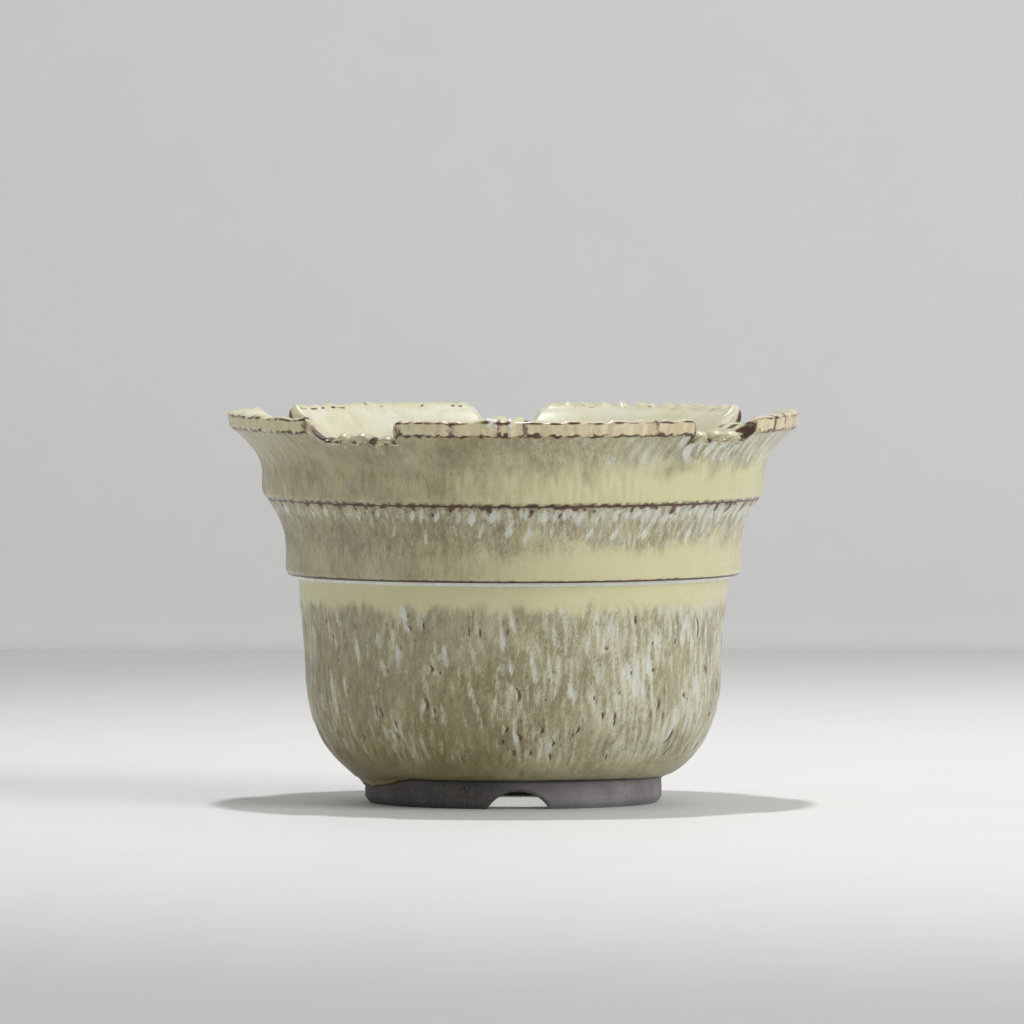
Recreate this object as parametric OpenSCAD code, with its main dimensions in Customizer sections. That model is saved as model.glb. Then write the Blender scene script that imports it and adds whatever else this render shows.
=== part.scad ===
// Round stoneware bonsai pot in three stepped tiers on a notched foot ring, its flared rim
// cut into petals. Origin: middle of the foot's resting plane. +Z up, the front faces -Y.
// Lengths are in millimetres. Diameters of glazed tiers are measured over the glaze.

/* [Foot ring] */
// Outer diameter of the foot ring
foot_d = 67.4; // [56:0.2:72]
// Height of the foot ring
foot_h = 6.5; // [5:0.5:10]
// Thickness of the ring's wall
foot_wall = 7.6; // [6:0.2:10]
// Bevel round the ring's bottom outer edge
foot_bevel = 1.2; // [0.5:0.1:2]
// Number of drainage arches cut in the ring
arch_count = 3; // [2:1:4]
// Width of an arch at the table
arch_w = 14; // [8:0.5:20]
// Height of an arch
arch_h = 4; // [2:0.25:4.5]
// Turn of the first arch from the front
arch_turn = 2; // [-30:1:30]

/* [Floor] */
// Thickness of the floor slab
floor_t = 4.5; // [4:0.25:8]
// Diameter of the drain hole
drain_d = 42; // [20:1:46]
// Width of the lip by which the slab rests on the bowl's ledge
floor_lap = 3; // [2:0.25:4]

/* [Bowl] */
// Diameter where the bowl springs from the foot ring
bowl_foot_d = 68.8; // [66:0.2:76]
// Diameter at the top of the bowl's round, where the wall turns upright
belly_d = 94.4; // [86:0.2:114]
// Height of the top of the round
belly_z = 28; // [22:0.5:34]
// Diameter just under the lower ridge
shoulder_d = 98.2; // [94:0.2:99]
// Height of the lower ridge's underside
ledge_z = 51.6; // [46:0.2:55]
// Thickness of the clay wall of the bowl and the middle band
wall = 3.4; // [2.8:0.1:4.4]

/* [Middle band] */
// Diameter over the lower ridge
ridge_d = 102.6; // [101:0.2:104]
// Diameter of the band's upright stretch
band_d = 103.6; // [102:0.2:106]
// Height at which the band begins to flare
band_flare_z = 60; // [57:0.5:64]
// Diameter just under the upper ridge
band_top_d = 112; // [106:0.2:112.4]
// Height of the upper ridge's underside
upper_ledge_z = 69.4; // [67:0.2:72]

/* [Rim band] */
// Diameter over the upper ridge
upper_ridge_d = 113; // [112.8:0.2:114]
// Diameter of the rim band's upright stretch
rim_band_d = 114.2; // [113:0.2:118]
// Height at which the rim begins to flare
rim_flare_z = 75; // [73:0.5:78]
// Diameter of the rim over all
rim_d = 130; // [124:1:156]
// Height of the rim over all
rim_h = 88.7; // [84:0.1:107]
// Height of the lip's upright outer face
lip_h = 3.2; // [2:0.1:5]
// Width of the lip's flat top
lip_w = 2.4; // [2:0.1:4]
// Thickness of the clay wall of the rim band
rim_wall = 2.6; // [2:0.1:3.4]

/* [Rim gaps] */
// Depth of the gaps below the top of the rim
gap_depth = 5; // [3:0.25:8]
// Lean of a gap's steep end
steep_lean = 0.3; // [0:0.1:2]
// Lean of a gap's long sloping end
slope_lean = 3; // [0.5:0.1:5]
// Front right gap, place round from the front
gap_1_at = 49; // [44:0.5:54]
// Front right gap, width across its top
gap_1_w = 22.7; // [14:0.1:27]
// Right gap behind, place round from the front
gap_2_at = 116; // [111:0.5:121]
// Right gap behind, width across its top
gap_2_w = 23.9; // [14:0.1:28]
// Back gap, place round from the front
gap_3_at = 181; // [176:0.5:186]
// Back gap, width across its top
gap_3_w = 18.6; // [14:0.1:23]
// Left gap behind, place round from the front
gap_4_at = 239.5; // [235:0.5:244]
// Left gap behind, width across its top
gap_4_w = 16.5; // [13:0.1:20]
// Front left gap, place round from the front
gap_5_at = 325; // [320:0.5:330]
// Front left gap, width across its top
gap_5_w = 24.5; // [14:0.1:29]

/* [Lap joints and glaze] */
// Height of the tongue that each tier stands up inside the next one
tongue_h = 3.5; // [2.5:0.25:4]
// Width of the shoulder round a tongue, on which the next tier sits
seat_w = 1.2; // [0.8:0.1:1.6]
// Slip left round a luted tongue or slab
slip_t = 0.05; // [0.02:0.01:0.1]
// Thickness of the glaze on the outside
glaze_t = 0.6; // [0.4:0.05:0.9]
// Thickness of the glaze on the inside
liner_t = 0.5; // [0.4:0.05:0.8]
// Thickness of the glaze beads in the gaps
bead_t = 0.9; // [0.5:0.05:1.5]

/* [Hidden] */
$fn = 128;
steps = 8;           // points along each curved stretch
round_power = 1.8;   // fullness of the bowl's round
arris = 0.5;         // softening of the lip's edges
ledge_w = 4;         // width of the bowl's base where it sits on the foot ring
corner_w = 1.5;      // width of the corner between the floor and the wall
step_rise = 2;       // height over which the inside steps out above a tongue
reach = 5;           // how far a cut runs past the clay
foot_r = foot_d / 2;
arch_r = (pow(arch_w / 2, 2) + arch_h * arch_h) / (2 * arch_h);
floor_top_z = foot_h + floor_t;
ledge_top_z = foot_h + floor_t / 2;
base_r = bowl_foot_d / 2 - glaze_t;
ledge_r = min(base_r, foot_r) - ledge_w;
slab_r = ledge_r + floor_lap;
lip_mid_r = rim_d / 2 - lip_w / 2;
lip_top_z = rim_h - glaze_t;
gap_z = rim_h - gap_depth;
// A gap is [place round from the front, width, lean of its first end, lean of its last end]
gaps = [
    [gap_1_at, gap_1_w, steep_lean, slope_lean],
    [gap_2_at, gap_2_w, slope_lean, steep_lean],
    [gap_3_at, gap_3_w, slope_lean, slope_lean],
    [gap_4_at, gap_4_w, steep_lean, slope_lean],
    [gap_5_at, gap_5_w, slope_lean, steep_lean],
];

// Unit vector square to the line from a to b, on its right-hand side
function square_to(a, b) = [b.y - a.y, a.x - b.x] / norm(b - a);

// A line of points moved sideways by d, to its right where d is positive, corners mitred
function moved(p, d) = [
    for (i = [0:len(p) - 1])
        let (
            last = len(p) - 1,
            n0 = i > 0 ? square_to(p[i - 1], p[i]) : square_to(p[0], p[1]),
            n1 = i < last ? square_to(p[i], p[i + 1]) : n0
        )
        p[i] + (n0 + n1) * (d / (1 + n0 * n1))
];

function backwards(p) = [for (i = [len(p) - 1:-1:0]) p[i]];

function part_of(p, first, count) = [for (i = [first:first + count - 1]) p[i]];

// The points of a line that lie between two heights
function between(p, low, high) = [for (q = p) if (q.y > low && q.y < high) q];

// Curve from one radius to another between two heights, bending late where power is high
function sweep(r0, z0, r1, z1, power, first = 0) = [
    for (i = [first:steps])
        let (t = i / steps)
        [r0 + (r1 - r0) * pow(t, power), z0 + (z1 - z0) * t]
];

// The bowl's round: a fourth of a superellipse from the foot ring to the upright wall
function round_line() = [
    for (i = [0:steps])
        let (a = 90 * i / steps, k = 2 / round_power)
        [
            (bowl_foot_d + (belly_d - bowl_foot_d) * pow(sin(a), k)) / 2,
            foot_h + (belly_z - foot_h) * (1 - pow(cos(a), k)),
        ]
];

// Finished outside of the three tiers, from the bottom up
bowl_line = concat(
    round_line(),
    sweep(belly_d / 2, belly_z, shoulder_d / 2, ledge_z, 1.6, 1));
band_line = concat(
    [[ridge_d / 2, ledge_z], [band_d / 2, ledge_z + 1.6]],
    sweep(band_d / 2, band_flare_z, band_top_d / 2, upper_ledge_z, 1.5));
flare_line = sweep(rim_band_d / 2, rim_flare_z, rim_d / 2 - arris, rim_h - lip_h, 2);
rim_line = concat(
    [[upper_ridge_d / 2, upper_ledge_z], [rim_band_d / 2, upper_ledge_z + 1.8]],
    flare_line,
    [
        [rim_d / 2, rim_h - arris],
        [rim_d / 2 - arris, rim_h],
        [lip_mid_r, rim_h],
    ]);
outside = concat(bowl_line, band_line, rim_line);

// Clay under the glaze, whole and tier by tier
moved_in = moved(outside, -glaze_t);
n_bowl = len(bowl_line);
n_band = len(band_line);
n_rim = len(rim_line);
bowl_clay = concat(
    [[base_r, foot_h]],
    [for (q = part_of(moved_in, 0, n_bowl)) if (q.x > base_r && q.y > foot_h + glaze_t) q]);
band_clay = part_of(moved_in, n_bowl, n_band);
rim_clay = part_of(moved_in, n_bowl + n_band, n_rim);
clay = concat(bowl_clay, band_clay, rim_clay);

// Lap joints: a tongue on the bowl inside the band, and one on the band inside the rim
seat_1_z = band_clay[0].y;
seat_2_z = rim_clay[0].y;
tongue_1_r = bowl_clay[len(bowl_clay) - 1].x - seat_w;
tongue_2_r = band_clay[n_band - 1].x - seat_w;
tongue_1_z = seat_1_z + tongue_h;
tongue_2_z = seat_2_z + tongue_h;

// Inside of the clay, a wall's thickness in from the outside, from the drain hole up
bowl_in = between(moved(bowl_clay, -wall), floor_top_z + 0.5, ledge_z);
band_in = between(moved(band_clay, -wall), tongue_1_z + step_rise, upper_ledge_z);
flare_clay = part_of(rim_clay, 2, steps + 1);
rim_in = between(moved(flare_clay, -rim_wall), tongue_2_z + step_rise, lip_top_z - 2 * arris);
step_1_in = [bowl_in[len(bowl_in) - 1].x, tongue_1_z + slip_t];
step_2_in = [band_in[len(band_in) - 1].x, tongue_2_z + slip_t];
corner_in = [max(slab_r + 1, bowl_in[0].x - corner_w), floor_top_z];
lip_in_r = rim_d / 2 - lip_w + liner_t;
lip_in = [
    [lip_in_r, lip_top_z - arris],
    [lip_in_r + arris, lip_top_z],
    [lip_mid_r, lip_top_z],
];
inner_clay = concat(
    [[drain_d / 2, floor_top_z], corner_in],
    bowl_in, [step_1_in],
    band_in, [step_2_in],
    rim_in, lip_in);
inside = moved(inner_clay, -liner_t);

// The turned foot ring, bare clay, with its drainage arches
module foot_ring() {
    in_r = foot_r - foot_wall;
    color("dimgray")
        difference() {
            rotate_extrude()
                polygon([
                    [in_r, 0],
                    [foot_r - foot_bevel, 0],
                    [foot_r, foot_bevel],
                    [foot_r, foot_h],
                    [in_r, foot_h],
                ]);
            for (i = [0:arch_count - 1])
                rotate([90, 0, arch_turn + i * 360 / arch_count])
                    translate([0, arch_h - arch_r, 0])
                        cylinder(r = arch_r, h = foot_r + reach);
        }
}

// The floor slab, resting by its lip on the ledge in the bowl's base
module floor() {
    color("rosybrown")
        rotate_extrude()
            polygon([
                [drain_d / 2, foot_h],
                [ledge_r - slip_t, foot_h],
                [ledge_r - slip_t, ledge_top_z],
                [slab_r, ledge_top_z],
                [slab_r, floor_top_z],
                [drain_d / 2, floor_top_z],
            ]);
}

// The bowl, with a ledge for the slab in its base and a tongue at its top
module bowl() {
    color("peru")
        rotate_extrude()
            polygon(concat(
                bowl_clay,
                [[tongue_1_r, seat_1_z], [tongue_1_r, tongue_1_z], [step_1_in.x, tongue_1_z]],
                backwards(bowl_in),
                [
                    corner_in,
                    [slab_r + slip_t, floor_top_z],
                    [slab_r + slip_t, ledge_top_z],
                    [ledge_r, ledge_top_z],
                    [ledge_r, foot_h],
                ]));
}

// The middle band, seated on the bowl's shoulder; its bottom edge overhangs as a ridge
module middle_band() {
    color("sienna")
        rotate_extrude()
            polygon(concat(
                band_clay,
                [[tongue_2_r, seat_2_z], [tongue_2_r, tongue_2_z], [step_2_in.x, tongue_2_z]],
                backwards(band_in),
                [
                    step_1_in,
                    [tongue_1_r + slip_t, tongue_1_z + slip_t],
                    [tongue_1_r + slip_t, seat_1_z],
                ]));
}

// The rim band, seated on the middle band, flared and cut into petals
module rim_band() {
    color("saddlebrown")
        difference() {
            rotate_extrude()
                polygon(concat(
                    rim_clay,
                    backwards(concat(rim_in, lip_in)),
                    [
                        step_2_in,
                        [tongue_2_r + slip_t, tongue_2_z + slip_t],
                        [tongue_2_r + slip_t, seat_2_z],
                    ]));
            for (gap = gaps) gap_cut(gap);
        }
}

// A knife cut through the rim, its faces and floor drawn in by inset
module gap_cut(gap, inset = 0) {
    half_w = gap[1] / 2 - inset;
    rotate([0, 0, gap[0]])
        translate([0, reach * 3 - rim_d / 2, gap_z + inset])
            rotate([90, 0, 0])
                linear_extrude(reach * 4)
                    polygon([
                        [gap[2] - half_w, 0],
                        [half_w - gap[3], 0],
                        [half_w, gap_depth - inset],
                        [half_w, gap_depth + reach],
                        [-half_w, gap_depth + reach],
                        [-half_w, gap_depth - inset],
                    ]);
}

// The coat outside, from the foot ring to the middle of the lip
module outer_glaze() {
    color("darkkhaki")
        difference() {
            rotate_extrude() polygon(concat(outside, backwards(clay)));
            for (gap = gaps) gap_cut(gap);
        }
}

// The coat inside, from the middle of the lip to the drain hole
module liner_glaze() {
    color("ivory")
        difference() {
            rotate_extrude() polygon(concat(inner_clay, backwards(inside)));
            for (gap = gaps) gap_cut(gap);
        }
}

// The thick beads that line each gap across the whole wall
module cut_glaze() {
    color("wheat")
        for (gap = gaps)
            difference() {
                intersection() {
                    rotate_extrude()
                        polygon(concat(
                            rim_line,
                            backwards(between(inside, upper_ledge_z, rim_h + reach))));
                    gap_cut(gap);
                }
                gap_cut(gap, bead_t);
            }
}

foot_ring();
floor();
bowl();
middle_band();
rim_band();
outer_glaze();
liner_glaze();
cut_glaze();
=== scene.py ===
import math

import bmesh
import bpy
import numpy as np
from mathutils import Matrix, Vector
from mathutils.bvhtree import BVHTree


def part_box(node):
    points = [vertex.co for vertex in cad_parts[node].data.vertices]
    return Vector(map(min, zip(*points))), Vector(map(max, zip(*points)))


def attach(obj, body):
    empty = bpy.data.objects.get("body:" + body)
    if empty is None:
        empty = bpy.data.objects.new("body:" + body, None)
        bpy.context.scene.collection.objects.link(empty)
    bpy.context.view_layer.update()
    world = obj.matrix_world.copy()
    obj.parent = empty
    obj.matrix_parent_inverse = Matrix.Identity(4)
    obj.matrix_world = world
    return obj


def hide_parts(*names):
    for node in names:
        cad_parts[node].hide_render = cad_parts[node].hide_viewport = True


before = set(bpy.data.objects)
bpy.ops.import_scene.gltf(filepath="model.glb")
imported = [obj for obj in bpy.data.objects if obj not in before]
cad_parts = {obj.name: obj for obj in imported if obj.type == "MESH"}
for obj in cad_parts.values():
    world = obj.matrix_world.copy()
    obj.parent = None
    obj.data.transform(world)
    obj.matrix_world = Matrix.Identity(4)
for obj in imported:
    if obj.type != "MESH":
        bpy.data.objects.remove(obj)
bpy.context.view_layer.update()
mm = 0.001


# Foot ring. Turned from dark, sandy stoneware and left bare of glaze. Three low arches
# cut in its bottom edge let water and air out from under the floor.
foot_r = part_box("foot_ring")[1].x / mm
foot_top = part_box("foot_ring")[1].z / mm
foot_in_r = 26.1
foot_bevel = 1.2
arch_w = 14.0
arch_h = 4.0
arch_turns = [math.radians(2 + 120 * i) for i in range(3)]
arch_r = (arch_w ** 2 / 4 + arch_h ** 2) / (2 * arch_h)
grit_h = 0.035
groove_h = 0.02
groove_rise = 6.2


def settle(bm, name):
    """Makes a worked mesh a smoothly shaded object in the scene."""
    for face in bm.faces:
        face.smooth = True
    mesh = bpy.data.meshes.new(name)
    bm.to_mesh(mesh)
    bm.free()
    piece = bpy.data.objects.new(name, mesh)
    bpy.context.scene.collection.objects.link(piece)
    return piece


def throw(name, outline, columns, sectors=20):
    """Spins a closed outline of radii and heights, in mm, once round the wheel's axis."""
    bm = bmesh.new()
    place = bm.verts.layers.float.new("place")
    ring = []
    for i, (r, z) in enumerate(outline):
        v = bm.verts.new((0, -r * mm, z * mm))
        v[place] = i
        ring.append(v)
    edges = [bm.edges.new(pair) for pair in zip(ring, ring[1:] + ring[:1])]
    bmesh.ops.spin(bm, geom=ring + edges, cent=(0, 0, 0), axis=(0, 0, 1), dvec=(0, 0, 0),
                   angle=math.tau / sectors, steps=columns // sectors, use_duplicate=False)
    # The spin leaves its points and faces in no fixed order, so they are put in one here.
    bm.verts.sort(key=lambda v: v[place] * 10 + math.atan2(v.co.x, -v.co.y))
    bm.verts.index_update()
    bm.faces.sort(key=lambda f: max(v.index for v in f.verts) + min(v.index for v in f.verts) / 1e6)
    sector = bm.verts[:] + bm.edges[:] + bm.faces[:]
    for i in range(1, sectors):
        copy = bmesh.ops.duplicate(bm, geom=sector)["geom"]
        points = [g for g in copy if isinstance(g, bmesh.types.BMVert)]
        turned = Matrix.Rotation(math.tau * i / sectors, 3, "Z")
        bmesh.ops.rotate(bm, verts=points, cent=(0, 0, 0), matrix=turned)
    bmesh.ops.remove_doubles(bm, verts=bm.verts, dist=0.001 * mm)
    bmesh.ops.recalc_face_normals(bm, faces=bm.faces)
    return settle(bm, name)


def read(piece):
    """Each point's turn round from the front, radius and height in mm, and place in the outline."""
    mesh = piece.data
    co = np.zeros(len(mesh.vertices) * 3)
    mesh.vertices.foreach_get("co", co)
    x, y, z = co.reshape(-1, 3).T / mm
    place = np.zeros(len(mesh.vertices))
    mesh.attributes["place"].data.foreach_get("value", place)
    return np.arctan2(x, -y), np.hypot(x, y), z, np.rint(place).astype(int)


def shape(piece, turn, r, z):
    """Puts every point at its turn, radius and height in mm."""
    co = np.stack([r * np.sin(turn), -r * np.cos(turn), z], axis=1) * mm
    piece.data.vertices.foreach_set("co", co.ravel())
    piece.data.update()


def swell(piece, depth):
    """Moves every point along its own normal by depth, in mm."""
    mesh = piece.data
    n = len(mesh.vertices) * 3
    co, normal = np.zeros(n), np.zeros(n)
    mesh.vertices.foreach_get("co", co)
    mesh.vertices.foreach_get("normal", normal)
    co = co.reshape(-1, 3) + normal.reshape(-1, 3) * depth[:, None] * mm
    mesh.vertices.foreach_set("co", co.ravel())
    mesh.update()


def note(piece, **values):
    """Stores numbers for every point, for the clay and the glaze to read."""
    for name, value in values.items():
        data = piece.data.attributes.new(name, "FLOAT", "POINT").data
        data.foreach_set("value", value.astype(np.float32))


def smooth(value, low, high):
    """0 below low and 1 above high, with a soft change between them."""
    t = np.clip((value - low) / (high - low), 0, 1)
    return t * t * (3 - 2 * t)


def soft_line(off, half):
    """1 where off is nothing, fading out either side past half."""
    return np.exp(-(off / half) ** 2)


def aside(turn, middle):
    """How far each turn lies from the middle one, the short way round, to the right or left."""
    return np.remainder(turn - middle + math.pi, math.tau) - math.pi


def right_side(turn, low, high):
    """0 left of the low turn and 1 right of the high one, fading out again at the back."""
    return smooth(turn, low, high) * (1 - smooth(turn, 1.9, 2.9))


def waver(turn, along, wide, tall, seed, girth=300.0, terms=28):
    """Uneven, hand-made variation about 0: wide and tall are the size of its swells in mm."""
    rng = np.random.RandomState(seed)
    total = np.zeros_like(turn)
    for _ in range(terms):
        angle = rng.uniform(0, math.pi)
        size = rng.uniform(0.6, 1.7)
        laps = round(math.cos(angle) * girth / (wide * size))
        rise = math.sin(angle) * math.tau / (tall * size)
        total += np.cos(laps * turn + rise * along + rng.uniform(0, math.tau))
    return total / math.sqrt(terms / 2)


def ring_waver(turn, wide, seed, girth=300.0):
    """The same variation, but only round the pot and not up it."""
    return waver(turn, turn * 0, wide, 50, seed, girth=girth)


def lay_out(path, gap):
    """Points along a line of radii and heights, no more than gap apart, with its corners kept."""
    out = [path[0]]
    for a, b in zip(path, path[1:]):
        n = max(1, math.ceil(math.dist(a, b) / gap))
        out += [(a[0] + (b[0] - a[0]) * i / n, a[1] + (b[1] - a[1]) * i / n) for i in range(1, n + 1)]
    return out


foot_outline = lay_out([
    (foot_in_r, foot_top),
    (foot_in_r, 0.5),
    (foot_in_r + 0.5, 0),
    (foot_r - foot_bevel, 0),
    (foot_r - 0.35, foot_bevel - 0.35),
    (foot_r, foot_bevel + 0.3),
    (foot_r, foot_top),
    (foot_in_r, foot_top),
], 0.45)[:-1]
foot = throw("foot_ring_clay", foot_outline, 480)
turn, r, z, place = read(foot)
for arch_turn in arch_turns:
    across = r * np.sin(turn - arch_turn)
    facing = np.cos(turn - arch_turn) > 0
    roof = np.sqrt(np.clip(arch_r ** 2 - across ** 2, 0, None)) - (arch_r - arch_h)
    roof = np.where(facing, np.clip(roof, 0, None), 0)
    z = roof + z * (foot_top - roof) / foot_top
wall = smooth(z, 0.15, 0.6) * (1 - smooth(z, foot_top - 0.6, foot_top))
grit = waver(turn, z, 1.1, 0.9, 3, girth=math.tau * foot_r) * grit_h
grooves = np.sin(z * groove_rise + 1.5 * np.sin(turn)) * groove_h
shape(foot, turn, r + (grit + grooves) * wall, z)
# The ash value pales the bare clay towards the right: partly a real ashy bloom, partly painted light
# from the right-hand soft lamp.
note(foot, high=z / foot_top, ash=right_side(turn, -0.35, 0.5))


def socket(tree, value, target):
    """Links an output to an input, or sets a plain number or colour on it."""
    if isinstance(value, bpy.types.NodeSocket):
        tree.links.new(value, target)
    elif value is not None:
        target.default_value = value


def calc(tree, operation, a, b=None, c=None):
    """One sum of up to three values."""
    n = tree.nodes.new("ShaderNodeMath")
    n.operation = operation
    for value, target in zip((a, b, c), n.inputs):
        socket(tree, value, target)
    return n.outputs[0]


def between(tree, value, low, high, start=0.0, end=1.0):
    """Turns the stretch from low to high into start to end, softly and no further."""
    n = tree.nodes.new("ShaderNodeMapRange")
    n.interpolation_type = "SMOOTHSTEP"
    for value, target in zip((value, low, high, start, end), n.inputs):
        socket(tree, value, target)
    return n.outputs[0]


def mix(tree, share, a, b):
    """Colour a where the share is 0 and colour b where it is 1."""
    n = tree.nodes.new("ShaderNodeMix")
    n.data_type = "RGBA"
    for value, i in ((share, 0), (a, 6), (b, 7)):
        socket(tree, value, n.inputs[i])
    return n.outputs[2]


def grain(tree, place, size, detail=3.0, rough=0.55, stretch=(1, 1, 1), swirl=0.0):
    """Noise about 0, mostly within 1 of it, with swells about size across, stretched by axis."""
    m = tree.nodes.new("ShaderNodeMapping")
    socket(tree, place, m.inputs["Vector"])
    m.inputs["Scale"].default_value = [1 / (size * s) for s in stretch]
    n = tree.nodes.new("ShaderNodeTexNoise")
    tree.links.new(m.outputs[0], n.inputs["Vector"])
    n.inputs["Scale"].default_value = 1.0
    n.inputs["Detail"].default_value = detail
    n.inputs["Roughness"].default_value = rough
    n.inputs["Distortion"].default_value = swirl
    return calc(tree, "MULTIPLY", calc(tree, "SUBTRACT", n.outputs[0], 0.5), 5.0)


def total(tree, *parts):
    """Adds up values, each with its own weight."""
    out = 0.0
    for value, weight in parts:
        out = calc(tree, "MULTIPLY_ADD", value, weight, out)
    return out


def named(tree, name, output="Fac"):
    """A number, or a place, that was stored for every point."""
    n = tree.nodes.new("ShaderNodeAttribute")
    n.attribute_name = name
    return n.outputs[output]


def rgb(r, g, b):
    """A colour as the eye reads it, 0 to 255, for a material."""
    return [*(((c / 255 + 0.055) / 1.055) ** 2.4 if c > 10 else c / 3295 for c in (r, g, b)), 1.0]


def new_material(name):
    """A new material, its nodes, and each point's place on the piece."""
    material = bpy.data.materials.new(name)
    material.use_nodes = True
    tree = material.node_tree
    return material, tree, tree.nodes.new("ShaderNodeTexCoord").outputs["Object"]


def finish_surface(material, colour, roughness, height, bump_mm):
    """Joins colour, roughness and relief to the material's shader."""
    tree = material.node_tree
    shader = tree.nodes["Principled BSDF"]
    socket(tree, colour, shader.inputs["Base Color"])
    socket(tree, roughness, shader.inputs["Roughness"])
    bump = tree.nodes.new("ShaderNodeBump")
    bump.inputs["Strength"].default_value = 1.0
    bump.inputs["Distance"].default_value = bump_mm * mm
    socket(tree, height, bump.inputs["Height"])
    tree.links.new(bump.outputs[0], shader.inputs["Normal"])
    return shader


def bare_clay(name):
    """Dark fired stoneware: sandy and iron-speckled. Paler and ashy towards the right, partly the clay's
    own ashy bloom and partly painted light from the right-hand soft lamp. Darker against the glaze,
    partly kiln flashing and partly painted shade under the glaze's hem.
    """
    material, tree, where = new_material(name)
    sand = grain(tree, where, 0.45 * mm, detail=4)
    cloud = grain(tree, where, 7 * mm, detail=3)
    speck = grain(tree, where, 0.8 * mm, detail=1, rough=0.3)
    dark = mix(tree, between(tree, cloud, -0.8, 0.8), rgb(55, 51, 49), rgb(70, 66, 63))
    ashy = mix(tree, between(tree, cloud, -0.8, 0.8), rgb(116, 113, 114), rgb(136, 133, 134))
    # Paler, ashy clay towards the right: partly the clay's own bloom, partly painted light where the
    # right-hand soft lamp falls.
    body = mix(tree, named(tree, "ash"), dark, ashy)
    body = mix(tree, between(tree, sand, -0.6, 1.0, 0, 0.45), body, rgb(116, 111, 108))
    body = mix(tree, between(tree, speck, 1.1, 1.5, 0, 0.8), body, rgb(50, 44, 41))
    # Darker band just under the glaze's hem: partly kiln flashing, partly painted shade under the
    # overhanging glaze.
    edge = between(tree, named(tree, "high"), 0.86, 0.97)
    body = mix(tree, calc(tree, "MULTIPLY", edge, 0.6), body, rgb(44, 34, 28))
    rough = between(tree, sand, -1.0, 1.0, 0.62, 0.85)
    finish_surface(material, body, rough, sand, 0.02)
    return material


clay = bare_clay("bare_clay")
foot.data.materials.append(clay)
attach(foot, "root")
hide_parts("foot_ring")


# Floor. A thick slab of the same clay, laid into the ring and the bowl, with the large
# drain hole cut through it. Its underside keeps the rings left by the turning tool.
floor_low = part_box("floor")[0].z / mm
floor_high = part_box("floor")[1].z / mm
floor_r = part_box("floor")[1].x / mm
drain_r = 21.0
tool_ring_h = 0.07
torn_h = 0.05
floor_outline = lay_out([
    (drain_r, floor_high - 0.2),
    (drain_r, floor_low + 0.7),
    (drain_r + 0.25, floor_low + 0.2),
    (drain_r + 0.8, floor_low),
    (foot_in_r, floor_low),
    (floor_r - 0.1, floor_low + 0.1),
    (floor_r - 0.1, floor_high - 0.1),
    (drain_r + 0.2, floor_high),
    (drain_r, floor_high - 0.2),
], 0.4)[:-1]
slab = throw("floor_clay", floor_outline, 360)
turn, r, z, place = read(slab)
under = (1 - smooth(z, floor_low + 0.2, floor_low + 0.9)) * smooth(r, drain_r + 0.4, drain_r + 1.4)
rings = np.sin(r * 4.2 + 0.5 * np.sin(turn + 0.6)) * tool_ring_h
torn = waver(turn, r, 2.5, 2.0, 5, girth=math.tau * drain_r) * torn_h
swell(slab, rings * under + torn * (1 - under) * (r < drain_r + 1.5))
note(slab, high=np.zeros_like(z))
slab.data.materials.append(clay)
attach(slab, "root")
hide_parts("floor")


# Bowl. Thrown stoneware under a yellow ash glaze. The wall was beaten with a ribbed
# tool, so the glaze lies thick and milky in leaf-shaped dents, breaks brown at their
# edges, and has run down in one broad drip over the foot.
def show_clay(ring):
    """Gives a ring of the construction the clay's surface."""
    ring.data.materials.clear()
    ring.data.materials.append(clay)


show_clay(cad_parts["bowl"])


def wall_line(node, low, high, gap, inside=False):
    """The wall's radii and heights as the construction has them, evenly spaced and smoothed."""
    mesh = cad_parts[node].data
    tree = BVHTree.FromPolygons([v.co for v in mesh.vertices], [p.vertices for p in mesh.polygons])
    petal_turn = 1.4
    out = Vector((math.sin(petal_turn), -math.cos(petal_turn), 0))
    line = []
    for height in np.arange(low, high, 0.04):
        level = Vector((0, 0, height * mm))
        start, aim = (level, out) if inside else (level + out * 0.2, -out)
        hit = tree.ray_cast(start, aim)[0]
        line.append((math.hypot(hit.x, hit.y) / mm, height))
    line = np.array(line)
    run = np.append(0, np.cumsum(np.hypot(*np.diff(line, axis=0).T)))
    even = np.linspace(0, run[-1], math.ceil(run[-1] / gap) + 1)
    line = np.stack([np.interp(even, run, line[:, i]) for i in (0, 1)], axis=1)
    for _ in range(2):
        wide = np.pad(line, ((2, 2), (0, 0)), mode="reflect", reflect_type="odd")
        line = sum(wide[i:len(line) + i] for i in range(5)) / 5
    return line.tolist()


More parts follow.
